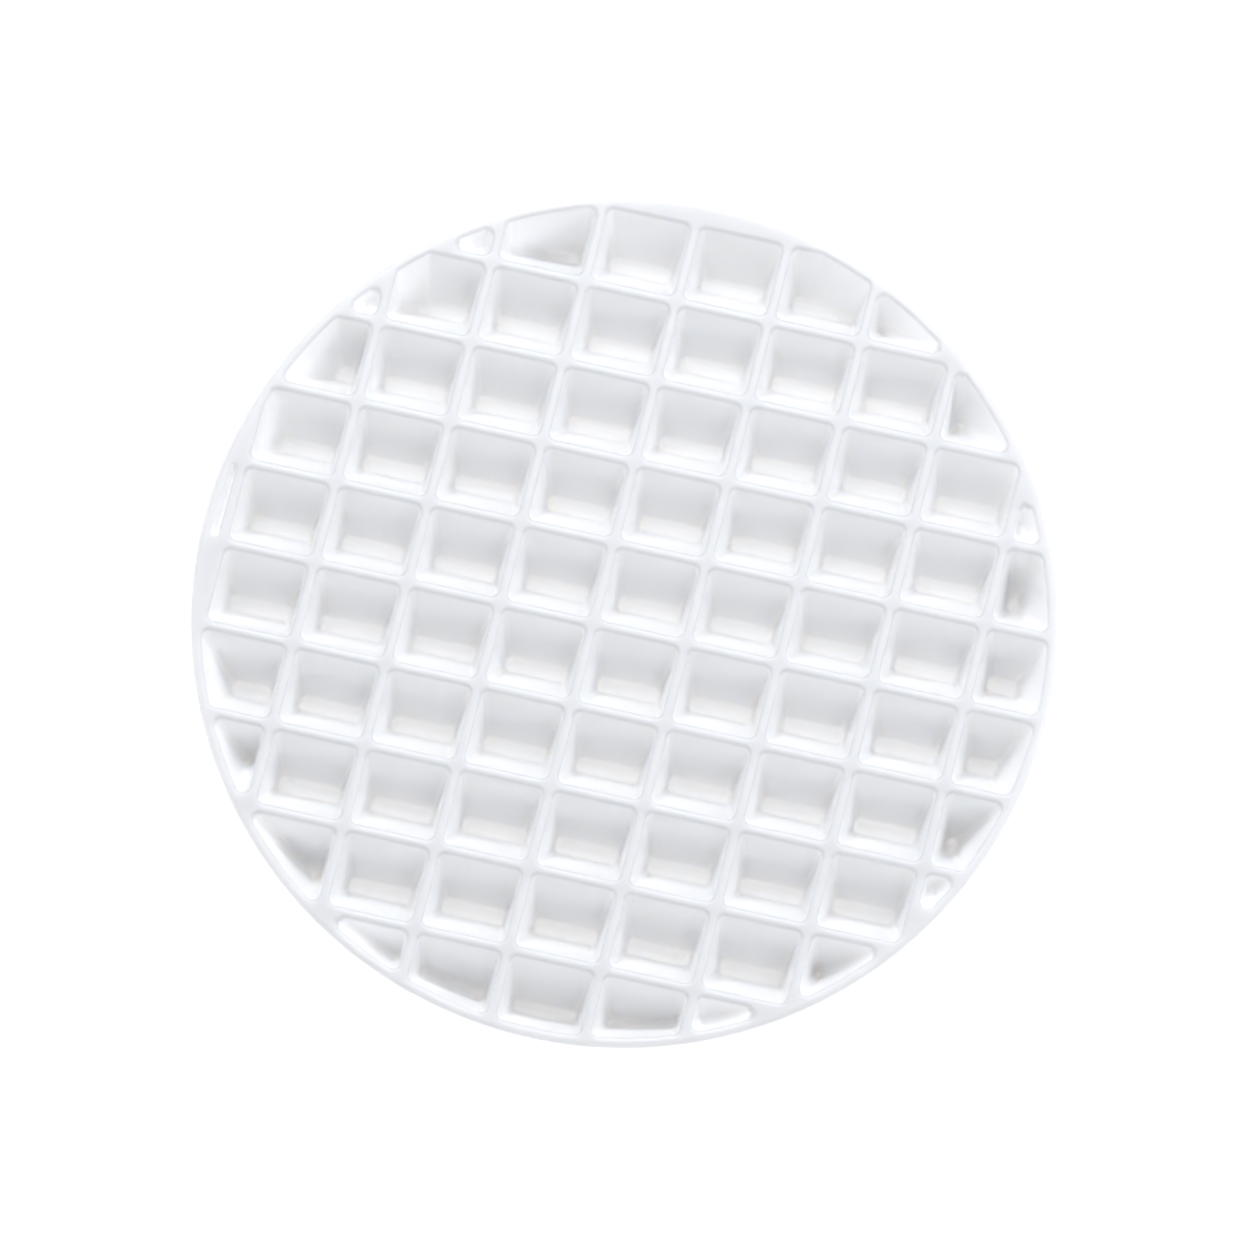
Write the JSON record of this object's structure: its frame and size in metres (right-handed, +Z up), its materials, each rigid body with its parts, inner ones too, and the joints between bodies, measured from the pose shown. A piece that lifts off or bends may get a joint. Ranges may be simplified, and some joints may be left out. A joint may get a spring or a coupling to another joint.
{
  "type": "resin casting mould",
  "caption": "Round flexible casting mould with a waffle grid of tapered rectangular pockets between thin raised ribs, inside a low rim.",
  "frame": {"origin": "centre of the flat underside, on the surface the mould rests on", "axes": "+Z up, out of the open side of the pockets; +X along the long ribs"},
  "size_m": [0.09, 0.09, 0.0108],
  "materials": {
    "silicone": "satin"
  },
  "bodies": {
    "root": {"base_sheet": "silicone", "rim_wall": "silicone", "long_rib_01": "silicone", "long_rib_02": "silicone", "long_rib_03": "silicone", "long_rib_04": "silicone", "long_rib_05": "silicone", "long_rib_06": "silicone", "long_rib_07": "silicone", "long_rib_08": "silicone", "long_rib_09": "silicone", "long_rib_10": "silicone", "cross_rib_01": "silicone", "cross_rib_02": "silicone", "cross_rib_03": "silicone", "cross_rib_04": "silicone", "cross_rib_05": "silicone", "cross_rib_06": "silicone", "cross_rib_07": "silicone", "cross_rib_08": "silicone", "cross_rib_09": "silicone"}
  },
  "joints": []
}
